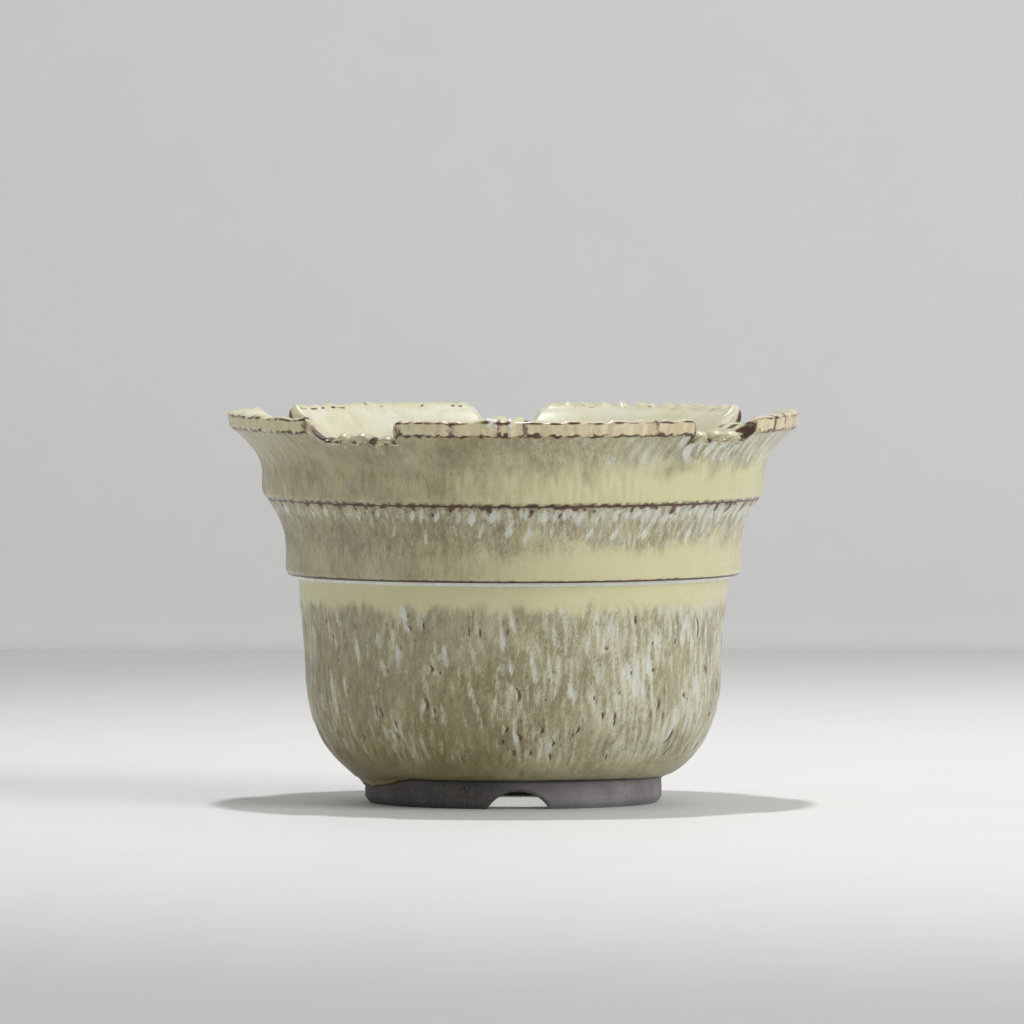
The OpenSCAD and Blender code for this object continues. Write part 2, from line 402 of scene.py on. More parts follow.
def leaves(turn, z, radius, rows, count, seed, lean, long, wide, stray=1.6):
    """Leaf-shaped dents in leaning rows: how deep each point is in one, and in a brown nick."""
    rng = np.random.RandomState(seed)
    nick_w = 0.36
    dent, nick = np.zeros_like(z), np.zeros_like(z)
    for k, height in enumerate(rows):
        for j in range(count):
            at = (j + 0.5 * (k % 2) + rng.uniform(-0.35, 0.35)) / count * math.tau
            level = height + rng.uniform(-stray, stray)
            half = rng.uniform(*long)
            width = rng.uniform(*wide)
            slope = rng.uniform(*lean)
            depth = rng.uniform(0.12, 1.0) ** 1.5
            chance = rng.uniform()
            hook = rng.uniform(0.25, 0.75)
            off = aside(turn, at)
            near = np.nonzero((np.abs(z - level) < half) & (np.abs(off) < 3.2 / radius))[0]
            across = off[near] * radius + (z[near] - level) * slope
            along = (z[near] - level) / half
            edge = width * (1 - np.abs(along) ** 1.7) * (1 - 0.45 * along) + 0.02
            inner = np.clip(1 - (across / edge) ** 4, 0, 1) * depth
            dent[near] = np.maximum(dent[near], inner)
            if chance < 0.3:
                bite = np.clip(1 - ((across - 0.8 * edge - 0.3 * along ** 2) / nick_w) ** 2, 0, 1)
                bite = bite * np.clip(1 - ((along + 0.35) / (hook * 0.6)) ** 2, 0, 1)
                nick[near] = np.maximum(nick[near], bite * min(1, 0.45 + depth))
    return dent, nick


def flow_of(piece, turn, place, outline, girth_r, twist=0.0):
    """Stores where each point is on the glaze's way down: round the pot, and along the outline."""
    steps = [math.dist(a, b) for a, b in zip(outline, outline[1:])]
    run = np.append(0, np.cumsum(steps))[place]
    at = turn - twist * run / girth_r
    flow = np.stack([girth_r * np.sin(at), -girth_r * np.cos(at), run], axis=1) * mm
    data = piece.data.attributes.new("flow", "FLOAT_VECTOR", "POINT").data
    data.foreach_set("vector", flow.astype(np.float32).ravel())


def inside_colour(tree, where):
    """Pale glaze of the inside: soft clouds, broad faint runs and a few fine specks."""
    cloud = grain(tree, where, 10 * mm, detail=4)
    runs = grain(tree, where, 2.2 * mm, detail=3, stretch=(1, 1, 5), swirl=0.6)
    fleck = grain(tree, where, 0.7 * mm, detail=2, rough=0.6)
    body = mix(tree, between(tree, cloud, -1.0, 1.0), rgb(214, 212, 194), rgb(204, 200, 170))
    body = mix(tree, between(tree, runs, -0.3, 1.4, 0, 0.45), body, rgb(186, 180, 148))
    return mix(tree, between(tree, fleck, 0.9, 1.4, 0, 0.3), body, rgb(146, 132, 100))


def ash_glaze(name):
    """Yellow ash glaze: milky where thickest, cream where thick, olive, then brown where thin. The milk
    value also carries painted glints and painted reflections, and the cream and olive values carry
    painted light and painted shade on the lit and far sides.
    """
    material, tree, where = new_material(name)
    flow = named(tree, "flow", "Vector")
    thread = grain(tree, flow, 0.34 * mm, detail=4, rough=0.65, stretch=(1, 1, 2.6))
    streak = grain(tree, flow, 1.4 * mm, detail=5, rough=0.65, stretch=(1, 1, 2.4), swirl=0.5)
    cloud = grain(tree, where, 11 * mm, detail=4)
    speck = grain(tree, where, 0.33 * mm, detail=3, rough=0.65)
    calm = calc(tree, "MULTIPLY_ADD", named(tree, "smooth"), -0.6, 1.0)
    threads = calc(tree, "MULTIPLY", total(tree, (thread, 0.36), (speck, 0.22)), calm)
    streaks = calc(tree, "MULTIPLY", streak, calm)
    depth = total(tree, (streaks, 0.46), (cloud, 0.34), (threads, 1.0))
    ground = mix(tree, between(tree, depth, -1.1, 1.1), rgb(122, 113, 80), rgb(180, 174, 146))
    green = mix(tree, between(tree, depth, -1.1, 1.1), rgb(112, 101, 60), rgb(156, 147, 106))
    ground = mix(tree, named(tree, "olive"), ground, green)
    cream = total(tree, (named(tree, "cream"), 1.0), (streak, 0.12), (thread, 0.1), (cloud, 0.08))
    yellow = mix(tree, between(tree, depth, -1.4, 1.4), rgb(193, 188, 145), rgb(206, 203, 162))
    colour = mix(tree, between(tree, cream, 0.05, 0.95), ground, yellow)
    biscuit = mix(tree, between(tree, streak, -1.0, 1.0), rgb(220, 208, 176), rgb(192, 175, 138))
    colour = mix(tree, named(tree, "warm"), colour, biscuit)
    milk = total(tree, (named(tree, "milk"), 1.0), (thread, 0.17), (speck, 0.2), (streak, 0.16))
    white = mix(tree, between(tree, milk, 0.4, 1.2), rgb(196, 193, 172), rgb(205, 209, 201))
    # Milk above 1.3 turns to near-white: the colour of painted glints.
    white = mix(tree, between(tree, milk, 1.3, 1.9), white, rgb(236, 239, 238))
    colour = mix(tree, between(tree, milk, 0.15, 1.0, 0, 0.9), colour, white)
    colour = mix(tree, named(tree, "pale"), colour, inside_colour(tree, where))
    thin = total(tree, (named(tree, "thin"), 1.0), (speck, 0.12), (streak, 0.06))
    brown = mix(tree, between(tree, streak, -0.8, 0.8), rgb(58, 42, 37), rgb(90, 66, 53))
    rust = mix(tree, between(tree, thin, 0.2, 0.5, 0, 0.75), colour, rgb(118, 88, 62))
    colour = mix(tree, between(tree, thin, 0.42, 0.75), rust, brown)
    rough = between(tree, milk, 0.0, 0.8, 0.28, 0.2)
    height = total(tree, (thread, 0.4), (streak, 0.5), (speck, 0.15))
    height = calc(tree, "MULTIPLY", height, calc(tree, "SUBTRACT", 1.0, named(tree, "smooth")))
    finish_surface(material, colour, rough, height, 0.045)
    return material


ash = ash_glaze("ash_glaze")
glaze_t = 0.6
ledge_z = 51.6
hem_z = foot_top - 0.5
bowl_r = 47
# The turn where the glaze is milkiest, which is also the side the soft lamp lights; colour laid out
# round it is partly painted light.
milky_turn = 1.05
drip_turn = -1.35
bowl_line = wall_line("outer_glaze", foot_top + 0.12, ledge_z - 0.9, 0.5)
shoulder_r = bowl_line[-1][0]
hem = [(foot_r - 0.05, hem_z + 0.3), (foot_r + 0.15, hem_z + 0.02), (foot_r + 0.4, hem_z + 0.08),
       (foot_r + 0.6, hem_z + 0.35)]
skirt_rows = 9
skirt = [(foot_r + 0.66, hem_z + 0.06 * i) for i in range(skirt_rows)]
fillet = [(shoulder_r + 0.1, ledge_z - 0.6), (shoulder_r + 0.26, ledge_z - 0.34),
          (shoulder_r + 0.55, ledge_z - 0.1), (shoulder_r + 1.0, ledge_z + 0.06),
          (shoulder_r + 1.5, ledge_z + 0.18), (shoulder_r + 2.0, ledge_z + 0.3),
          (shoulder_r + 1.6, ledge_z + 0.6)]
back = [(r - glaze_t - 0.15, z) for r, z in bowl_line[::-10] if z > foot_top + 2]
base = [(foot_r + 1.3, foot_top + 1.1), (foot_r - 0.1, foot_top + 0.4)]
bowl_outline = hem + skirt + bowl_line + fillet + back + base
first_wall = len(hem) + skirt_rows
first_fillet = first_wall + len(bowl_line)
bowl = throw("bowl_glaze", bowl_outline, 720)
turn, r, z, place = read(bowl)

# The glaze's lower edge runs down over the foot in a drip, and the skirt stretches after it.
drip = np.exp(-(aside(turn, drip_turn) / 0.5) ** 4)
run_down = 2.5 * drip + 0.9 * soft_line(turn - 1.6, 0.7) + 0.12 * ring_waver(turn, 9, 11)
low_edge = foot_top + 0.15 - np.clip(run_down, -0.2, 3)
in_skirt = (place >= len(hem)) & (place < first_wall)
z = np.where(place < len(hem), z - hem_z + low_edge, z)
share = np.clip((place - len(hem) + 1) / (skirt_rows + 1), 0, 1)
z = np.where(in_skirt, low_edge + 0.35 + share * (foot_top + 0.12 - low_edge - 0.35), z)
hang = np.clip(run_down, 0, 3) / 2.5
sag = 1 - smooth(r, foot_r + 0.4, foot_r + 6.5)
above_skirt = place >= first_wall
z -= 0.75 * hang * np.where(above_skirt, sag, in_skirt * share)
r += 1.1 * hang * np.where(above_skirt, (place < first_fillet) * sag ** 3, in_skirt * share ** 1.2)

# Beaten dents, and the longer brown nicks: turn in degrees, height, half length and lean.
shown = (place > 2) & (place < first_fillet + 2)
body = smooth(z, 8.5, 13) * (1 - smooth(z, 45.5, 48.5))
leaf_rows = [12, 17, 22.5, 28, 33.5, 39, 43.5]
dent, nick = leaves(turn, z, bowl_r, leaf_rows, 78, 21, (0.08, 0.26), (2.2, 4.6), (0.75, 1.4))
long_nicks = [(-50, 16, 1.6, 0.3), (-40, 22, 3.0, 0.3), (-36, 16.8, 2.2, 0.5), (-29, 41.5, 1.6, 0.5),
              (-24.5, 24.3, 3.6, 0.1), (-22.7, 32.4, 2.2, 0.2), (-3, 15.8, 1.4, 0),
              (-1.7, 18.6, 1.6, -0.2), (0.3, 13.2, 1.6, 0.2), (1.7, 26.8, 4.0, 0.25),
              (1.9, 17.0, 2.4, 0.5), (5.3, 13.2, 1.4, 0), (8.4, 18.2, 1.6, -0.3), (12, 15.4, 1.5, 0),
              (19, 18.4, 1.8, -0.3), (30, 21.5, 1.8, 0.1), (45, 23.9, 3.0, 0.1), (53, 16.2, 3.6, -0.4),
              (54.5, 12.4, 2.6, -0.9), (61.5, 41, 5.5, 0.3)]
for at, level, long, slope in long_nicks:
    bend = 0.9 * long * ((z - level) / long) ** 2
    across = (aside(turn, math.radians(at)) * 46 + (z - level) * slope + bend) / 0.34
    nick = np.maximum(nick, np.exp(-across ** 2 - (np.abs(z - level) / long * 1.9) ** 3) * 0.95)
    halo = np.exp(-((across * 0.34 + 0.8) / 1.0) ** 2 - ((z - level) / (long * 0.8)) ** 2)
    dent = np.maximum(dent, halo * 0.8)
shape(bowl, turn, r, z)
ripple = waver(turn, z, 2.2, 9, 31) * 0.05
wobble = waver(turn, z, 70, 30, 32, terms=12) * 0.07
relief = wobble + body * (ripple - 0.2 * dent - 0.22 * nick)
swell(bowl, np.where(shown, np.clip(relief, -0.42, 0.4), 0))

# Where the glaze is milky, cream, olive or thin. The side towards the right-hand soft lamp is also
# painted milkier and creamier, and the far side more olive: partly the glaze's own colour, partly
# painted light and painted shade.
right = 0.5 + 0.5 * np.cos(turn - milky_turn)
bright = right_side(turn, -0.35, 0.55)
haze = waver(turn, z, 1.7, 9, 41)
bloom = waver(turn, z, 16, 14, 43)
fine = waver(turn, z, 0.95, 5, 44)
milk = dent * (0.8 - 0.35 * bright) * (0.65 + 0.35 * smooth(z, 13, 24))
milk += (0.09 + 0.06 * right) * haze + (0.05 + 0.03 * right) * fine
milk = body * np.clip(milk + 0.12 * right + 0.36 * bright + 0.12 * bloom - 0.06, 0, 1.2)
# A whitish band on the glaze fillet under the ledge: partly pooled glaze, partly a painted reflection of
# the bright floor below.
milk = np.maximum(milk, smooth(z, ledge_z - 0.65, ledge_z - 0.35) * 1.6)
top_line = 46.4 + 0.45 * ring_waver(turn, 3.5, 42)
cream = smooth(z, top_line - 3.0, top_line + 2.0)
cream += body * (0.08 + 0.1 * right + 0.12 * bright + 0.08 * bloom + 0.08 * haze)
cream += 0.4 * bright * (1 - smooth(z, 9, 15))
olive = (1 - smooth(z, 8, 14.5)) * (0.9 - 0.7 * bright)
olive += 0.85 * (1 - bright) * body * (1 - smooth(z, 18, 46))
thin = nick * body + 0.8 * soft_line(z - low_edge - 0.15, 0.25) * (place < 7)
note(bowl, milk=milk, cream=cream, thin=thin, olive=np.clip(olive, 0, 1), smooth=smooth(z, 45, 48) * 0.7)
flow_of(bowl, turn, place, bowl_outline, bowl_r, twist=0.18)
bowl.data.materials.append(ash)
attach(bowl, "root")
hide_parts("outer_glaze")


# Middle band. A collar that steps out above the bowl and flares. The glaze has pulled
# thin and dark off its lower edge, and hangs in short milky runs from the rim above.
show_clay(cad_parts["middle_band"])
step_z = 69.4
band_r = 54
girth = math.tau * band_r
band_line = wall_line("outer_glaze", ledge_z + 1.6, step_z - 0.1, 0.3)
arris = [(shoulder_r + 1.3, ledge_z + 0.5), (shoulder_r + 1.8, ledge_z + 0.28),
         (shoulder_r + 2.1, ledge_z + 0.3), (shoulder_r + 2.3, ledge_z + 0.42),
         (shoulder_r + 2.42, ledge_z + 0.6), (shoulder_r + 2.5, ledge_z + 0.85),
         (band_line[0][0] - 0.09, ledge_z + 1.2)]
tuck = [(band_line[-1][0] + 0.1, step_z + 0.15), (band_line[-1][0] - 0.3, step_z + 0.35)]
back = [(r - glaze_t - 0.1, z) for r, z in band_line[::-7]]
band_outline = arris + band_line + tuck + back
band = throw("middle_glaze", band_outline, 820)
turn, r, z, place = read(band)
shape(band, turn, r, z)
shown = (place > 1) & (place < len(arris) + len(band_line))
right = 0.5 + 0.5 * np.cos(turn - milky_turn)
lit = right_side(turn, -0.6, 0.5)
tick = np.cos(turn * 62 + 1.6 * ring_waver(turn, 20, 51, girth)) * 0.5 + 0.5
reach = 1.4 + 0.8 * ring_waver(turn, 4, 52, girth)
below = step_z - z
hang = smooth(reach - below, -0.6, 0.8)
run_1, hook = leaves(turn, z, band_r, [step_z - 2.2], 84, 81, (-0.5, 0.0), (1.2, 2.1), (0.55, 1.0),
                     stray=0.7)
run_2, speckle = leaves(turn, z, band_r, [step_z - 5.6], 80, 82, (-0.6, -0.1), (1.5, 2.9), (0.6, 1.1),
                        stray=1.3)
run_1, run_2 = run_1 ** 0.9, run_2 * (0.25 + 0.75 * right)
haze = waver(turn, z, 1.8, 5, 53, girth=girth)
mid = smooth(z, 58, 61) * (1 - smooth(z, 68.6, 69.3))
relief = waver(turn, z, 70, 20, 54, terms=12) * 0.06 + mid * (0.05 * haze - 0.12 * run_1 - 0.16 * run_2)
relief += 0.14 * hang * smooth(tick, 0.4, 0.9)
swell(band, np.where(shown, np.clip(relief, -0.4, 0.4), 0))

bloom = waver(turn, z, 14, 8, 57, girth=girth)
fine = waver(turn, z, 0.9, 3.5, 58, girth=girth)
torn = waver(turn, z, 2.6, 2.2, 59, girth=girth)
veil = soft_line(below - 2.2, 1.7)
# The lit right side is painted milkier and creamier, and the far side more olive: partly the glaze's own
# colour, partly painted light and painted shade.
milk = (0.9 + 0.15 * haze) * run_1 + (0.75 + 0.15 * haze) * run_2 + 0.36 * veil + 0.2 * lit * right
milk = np.clip(milk + mid * (0.05 + 0.05 * right) * (haze + fine) + 0.2 * right * mid, 0, 1)
top_line = 57.8 + 1.2 * right + 0.5 * ring_waver(turn, 6, 55, girth)
cream = (1 - smooth(z, top_line - 3.5, top_line + 5.5)) * (0.17 + 0.68 * lit) + mid * 0.1 * bloom + 0.14
thin = np.maximum.reduce([
    1 - smooth(z, ledge_z + 0.58, ledge_z + 0.95 + 0.08 * ring_waver(turn, 3, 56, girth)),
    hang * smooth(tick, 0.78, 1.0) * (0.75 + 0.3 * torn),
    0.7 * np.maximum(hook, 0.5 * speckle) * mid,
    smooth(z, step_z - 0.5 - 0.8 * np.clip(torn, 0, 2.2), step_z - 0.05),
])
olive = np.clip(0.3 + 0.25 * bloom, 0, 1) * mid * (1 - 0.6 * right)
note(band, milk=milk, cream=cream, thin=thin, olive=olive, smooth=(1 - smooth(z, 56, 60)) * 0.7)
flow_of(band, turn, place, band_outline, band_r)
band.data.materials.append(ash)
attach(band, "root")
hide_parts("outer_glaze")


# Rim band. The widest ring, flared into a lip and cut by hand into five petals while the
# clay was soft. Glaze beads on the cut faces and breaks to brown along every edge.
show_clay(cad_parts["rim_band"])
rim_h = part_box("outer_glaze")[1].z / mm
rim_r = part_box("outer_glaze")[1].x / mm
girth = math.tau * rim_r
gap_depth = 5
still_z = rim_h - gap_depth - 1.7
skin = 0.3
tooth_pitch = 4.4
tooth_h = 0.45
crown_dip = 0.45
columns = 920

# The lip's edge, laid out flat: every gap falls, runs level and climbs. A gap is the turns
# in degrees where it starts and ends, and how far its two ends lean. A bead of glaze is its
# share of the way along the gap, half its width and its height.
gaps = [(39, 59, 0.3, 3), (105.5, 126.6, 3, 0.3), (172.9, 189.3, 3, 3), (232.1, 246.7, 0.3, 3),
        (314.2, 335.8, 3, 0.3)]
bead_sets = [[(0.17, 1.8, 1.5), (0.43, 2.0, 1.6), (0.72, 2.1, 1.2)],
             [(0.22, 2.0, 0.8), (0.5, 2.7, 1.1), (0.84, 1.6, 0.7)],
             [(0.26, 1.9, 0.9), (0.6, 2.4, 1.1)],
             [(0.33, 2.1, 0.8), (0.72, 1.8, 1.0)],
             [(0.3, 1.7, 1.3), (0.55, 2.0, 1.5), (0.83, 2.3, 0.8)]]
fall = [(-1.1, 0), (-0.55, 0.09), (-0.22, 0.3), (0, 0.75)]
land = [(0.8, 4.2), (1.0, 4.65)]
rest = [(0.4, 4.93), (0.9, gap_depth)]
path = [(0, 0)]
for start, end, lean_0, lean_1 in gaps:
    first, last = math.radians(start) * rim_r + skin, math.radians(end) * rim_r - skin
    path += [(first + x, y) for x, y in fall]
    path += [(first + x * lean_0, y) for x, y in land]
    path += [(first + lean_0 + x, y) for x, y in rest]
    path += [(last - lean_1 - x, y) for x, y in reversed(rest)]
    path += [(last - x * lean_1, y) for x, y in reversed(land)]
    path += [(last - x, y) for x, y in reversed(fall)]
path = np.array(path + [(girth, 0)])
run = np.append(0, np.cumsum(np.hypot(*np.diff(path, axis=0).T)))
fine = np.linspace(0, run[-1], 9000)
around = np.interp(fine, run, path[:, 0])
drop = np.interp(fine, run, path[:, 1])
beads = np.zeros_like(fine)
for (start, end, lean_0, lean_1), bead_set in zip(gaps, bead_sets):
    first, last = math.radians(start) * rim_r + lean_0, math.radians(end) * rim_r - lean_1 * 0.4
    inside = (around > first) & (around < last)
    for share, half, rise in bead_set:
        from_middle = (around - first - share * (last - first)) / half
        beads = np.maximum(beads, inside * rise * np.clip(1 - from_middle ** 2, 0, None) ** 0.6)
low_part = smooth(drop, 4.2, 4.9)
valley = low_part * soft_line(beads, 0.5)
saw = np.remainder(around / tooth_pitch + 0.15 * np.sin(around / 9), 1)
toothed = (around > 2.2 * rim_r) & (around < 3.03 * rim_r)
teeth = np.where(toothed, np.sin(math.pi * saw ** 1.6) ** 2 * tooth_h, 0)
wave = ring_waver(around / rim_r, 8, 61, girth) * 0.08
top = rim_h - drop + beads + 0.4 * low_part
top = top + (teeth + wave) * (drop < 0.05) - 0.3 * (teeth > 0)

# The columns of the ring crowd together where the edge is steep.
run = np.append(0, np.cumsum(np.hypot(np.diff(around), np.diff(top))))
even = np.linspace(0, run[-1], columns, endpoint=False)
column_turn, column_top, column_drop, column_valley, column_bead, column_tooth = [
    np.interp(even, run, value) for value in (around, top, drop, valley, beads, teeth)]

outer = np.array(wall_line("outer_glaze", step_z + 0.9, rim_h - 3.4, 0.36))
lip_face = [(rim_r - 0.7, rim_h - 3.25), (rim_r - 0.5, rim_h - 3.0), (rim_r, rim_h - 0.45)]
join_z = step_z + 9
inner = np.array(wall_line("liner_glaze", join_z, rim_h - 1.25, 0.5, inside=True))
out_z = np.append(outer[:, 1], [z for r, z in lip_face] + [rim_h])
out_r = np.append(outer[:, 0], [r for r, z in lip_face] + [rim_r])
in_z = np.append(inner[:, 1], [rim_h - 0.6, rim_h])
in_r = np.append(inner[:, 0], [rim_r - 2.9, rim_r - 2.4])
ridge_r = outer[0][0]
ridge = [(ridge_r - 1.5, step_z + 0.2), (ridge_r - 0.9, step_z), (ridge_r - 0.62, step_z + 0.05),
         (ridge_r - 0.42, step_z + 0.22), (ridge_r - 0.22, step_z + 0.55)]
face = lay_out(lip_face, 0.33)
down = inner[::-1].tolist()
mouth = lay_out([(in_r[-2] - 0.05, rim_h - 0.6), tuple(down[0])], 0.45)[:-1]
crown = [1 - 2 * i / 11 for i in range(1, 11)]
crown_line = [(rim_r - 1.2 + 1.2 * u, rim_h - crown_dip * abs(u) ** 2.0) for u in crown]
closing = [(inner[0][0] + 1.2, step_z + 8.8), (ridge_r - 0.9, step_z + 6.5), (ridge_r - 1.3, step_z + 2)]
rim_outline = ridge + outer.tolist() + face + crown_line + mouth + down + closing
first_lip = len(ridge) + len(outer)
first_crown = first_lip + len(face)
last_crown = first_crown + len(crown)
first_close = last_crown + len(mouth) + len(down)
rim = throw("rim_glaze", rim_outline, columns)
turn, r, z, place = read(rim)
column = np.rint(turn / math.tau * columns).astype(int) % columns
turn, height = (column_turn / rim_r)[column], column_top[column]
petal = 1 - smooth(column_drop[column], 0.4, 1.6)
outside = (place >= len(ridge)) & (place < first_crown)
inside = (place >= last_crown) & (place < first_close)
on_crown = (place >= first_crown) & (place < last_crown)
full = rim_h - crown_dip - still_z
sunk = 0.55 * column_bead[column]
moved = still_z + (z - still_z) * (height - sunk * inside - crown_dip - still_z) / full
z = np.where((outside | inside) & (z > still_z), moved, z)
across = np.zeros_like(z)
across[on_crown] = np.array(crown)[place[on_crown] - first_crown]
dip = crown_dip * np.abs(across) ** 2
z = np.where(on_crown, height - dip - sunk * smooth(-across, 0, 1), z)
across = np.where(outside, 1.0, np.where(inside, -1.0, across))
outer_at = np.interp(z, out_z, out_r)
inner_at = np.interp(z, in_z, in_r)
fitted = (outer_at + inner_at) / 2 + across * (outer_at - inner_at) / 2
r = np.where(((outside | inside) & (z > still_z)) | on_crown, fitted, r)
r -= 0.04 * inside * (1 - smooth(z, join_z + 1.5, join_z + 4))
shape(rim, turn, r, z)
ends = np.zeros(len(rim.data.edges) * 2, int)
rim.data.edges.foreach_get("vertices", ends)
foot_of_face = (place[ends].reshape(-1, 2) == first_close - 1).all(axis=1)
rim.data.attributes.new("sharp_edge", "BOOLEAN", "EDGE").data.foreach_set("value", foot_of_face)

# Relief: rolled beads of glaze on the lip, and shallow streaks where it ran down the wall.
right = 0.5 + 0.5 * np.cos(turn - milky_turn)
wall = outside & (place < first_lip)
lip = outside & ~wall
gap_here = 1 - petal
valley_here = column_valley[column]
haze = waver(turn, z, 2.0, 6, 62, girth=girth)
patch = waver(turn, z, 9, 6, 63, girth=girth)
lumps = ring_waver(turn, 3.6, 68, girth)
dome = on_crown * (1 - across ** 2)
relief = waver(turn, z, 80, 30, 64, terms=12) * 0.06 * wall + 0.05 * haze * wall
relief += dome * (petal * (0.16 + 0.14 * lumps) + gap_here * (0.6 - 0.5 * valley_here))
relief += lip * petal * 0.06 * (lumps + 0.6 * haze)
low_rim = soft_line(z - height + 0.9, 0.7) * outside
relief += 0.4 * low_rim * gap_here * (1 - valley_here)
roll = np.exp(-(aside(turn, -0.045) / 0.07) ** 4)
relief += (0.9 * dome + 0.3 * lip) * roll * (0.55 + 0.15 * haze)
smear = waver(turn, z, 3.0, 8, 69, girth=girth)
streaks = smooth(smear, -0.3, 1.5) * smooth(z, 76.5, 80) * (1 - smooth(z, 84.5, 85.3)) * wall
relief -= 0.1 * streaks * (0.3 + 0.7 * right)
swell(rim, np.clip(relief, -0.35, 0.75))

# Brown edges: along the lip, the ends of the gaps and the beads, in cracks and burnt patches.
steps = np.append(0, np.cumsum([math.dist(a, b) for a, b in zip(rim_outline, rim_outline[1:])]))
at = steps[place]
low_arris, high_arris, inner_arris = steps[first_lip], steps[first_crown], steps[last_crown]
broken = ring_waver(turn, 3.2, 65, girth)
ragged = waver(turn, z, 2.4, 2.0, 66, girth=girth)
bead_front = smooth(at, high_arris - 1.7, high_arris - 1.2) * gap_here * outside
slope = smooth(column_drop, 0.1, 0.6) * (1 - smooth(column_drop, 4.6, 4.9))
untoothed = 1 - 0.6 * smooth(turn, 2.15, 2.25) * (1 - smooth(turn, 2.98, 3.05))
patchy = smooth(ring_waver(turn, 11, 70, girth) + 0.5 * ragged, -0.3, 1.1)
crack = smooth(ring_waver(turn, 4, 67, girth), 1.7, 2.1) * (np.abs(turn - math.pi) < 2.4)
cracks = [(-12.5, 0.8), (-2.8, 0.5), (2.4, 0.7), (30.2, 0.6), (-23.6, 0.5), (-46.5, 0.8), (66, 0.6),
          (72, 0.4), (79, 0.5)]
for where, width in cracks:
    off = aside(turn, math.radians(where)) * rim_r
    crack = np.maximum(crack, soft_line(off + 0.25 * ragged, width))
burnt = soft_line(turn - 0.995, 0.036)
thin = np.maximum.reduce([
    soft_line(at - low_arris + 0.1 + 0.22 * ragged, 0.42) * petal * (0.85 + 0.35 * broken),
    soft_line(at - high_arris + 0.1 + 1.5 * gap_here + 0.2 * ragged * gap_here, 0.28)
    * (0.72 + 0.4 * broken - 0.15 * gap_here),
    soft_line(at - high_arris, 0.42) * slope[column] * (0.8 + 0.3 * broken),
    soft_line(at - inner_arris, 0.22) * patchy * untoothed * (0.6 + 0.5 * ragged),
    np.where(lip, 0.1 + 0.06 * ragged, -9),
    soft_line(at - steps[2] - 0.12 * ragged, 0.4) * (0.85 + 0.25 * broken),
    # Brown along the ridge's rounding: partly a real brown fringe, partly painted shade that dulls the
    # light it catches from the floor.
    soft_line(at - steps[4], 0.45) * (0.36 + 0.08 * ragged),
    crack * (lip | (on_crown & (petal > 0.5))) * (0.75 + 0.2 * haze),
    valley_here * gap_here * on_crown * smooth(across, -1.2, -0.2) * (0.62 + 0.4 * broken),
    valley_here * bead_front * (0.66 + 0.4 * broken),
    burnt * on_crown * smooth(across + 0.3 * ragged, -0.6, 0.2) * (0.74 + 0.25 * ragged),
    soft_line(at - high_arris + 2.1 + 0.4 * ragged, 0.6) * gap_here * outside * smooth(ragged, 0.2, 1.4),
])

# Milky streaks, painted glints and painted highlights, the cream foot of the wall, and the paler inside.
# The lit right side is painted milkier and creamier and the lip warmer, partly the glaze's own colour
# and partly painted light.
far_right = smooth(right, 0.55, 0.95)
milk = streaks * (0.08 + 0.42 * far_right) + 0.36 * far_right * wall * smooth(z, 75, 80)
milk += 0.55 * gap_here * wall * smooth(haze, -0.2, 0.9) * smooth(z, 79.5, 82.5)
milk = np.clip(milk, 0, 1) + 0.4 * bead_front
# A painted glint: near-white on the rolled glaze at the front of the lip, where the overhead lamp's
# highlight falls.
wet = smooth(at, high_arris - 1.2 - 0.5 * haze, high_arris - 0.4) * (at < inner_arris - 1)
milk += 1.9 * roll * wet * smooth(haze + broken, -0.8, 0.4)
# Painted highlights on the crests of the toothed edge.
milk += 0.9 * (column_tooth / tooth_h)[column] * on_crown
upper = 75.2 + 0.8 * patch + 1.8 * right
lit = right_side(aside(turn, 0), -0.6, 0.5)
cream = (1 - smooth(z, upper - 4.0, upper + 5.0)) * (0.04 + 0.56 * lit) + 0.3 + 0.05 * lit + 0.05 * patch
cream -= 0.03 * smooth(z, 81, 84.5) * smooth(patch, -0.2, 1.2) + 0.25 * gap_here * smooth(z, 77.5, 81)
plain = (wall | (place < len(ridge))) & (bead_front < 0.5)
cream = np.where(plain, cream, 0.85 + 0.1 * ragged * lip - 0.4 * bead_front)
pale = np.where(inside | (place >= first_close), 1.0, 0.0) + on_crown * (0.35 + 0.3 * gap_here)
outer_part = np.where(lip, 1.0, on_crown * smooth(across, -0.2, 0.8))
# The lip's warm biscuit colour is painted stronger on the lit right side: partly its own colour, partly
# painted light.
warm = outer_part * petal * (0.5 + 0.35 * lit + 0.1 * ragged)
olive = np.clip(0.4 + 0.3 * patch, 0, 1) * wall * (1 - 0.7 * right)
calm = np.where(wall, 0.98 - 0.25 * right * smooth(z, 73, 79), np.where(lip, 0.7, 1.0))
note(rim, warm=warm, milk=milk, cream=cream, thin=thin, pale=pale, olive=olive, smooth=calm)
flow_of(rim, turn, place, rim_outline, 60)
rim.data.materials.append(ash)
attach(rim, "root")
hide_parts("outer_glaze", "cut_glaze")


# Liner. The same ash glaze poured round the inside, paler and smoother where it lies
# thick on the floor and in the steps of the wall. It stops at the drain hole's edge.
def pale_glaze(name):
    """Pale, even glaze with soft clouds, fine specks and a brown edge at the drain hole."""
    material, tree, where = new_material(name)
    cloud = grain(tree, where, 9 * mm, detail=4)
    edge = between(tree, named(tree, "thin"), 0.3, 0.7)
    body = mix(tree, edge, inside_colour(tree, where), rgb(98, 66, 50))
    rough = between(tree, cloud, -1.0, 1.0, 0.24, 0.32)
    finish_surface(material, body, rough, cloud, 0.05)
    return material


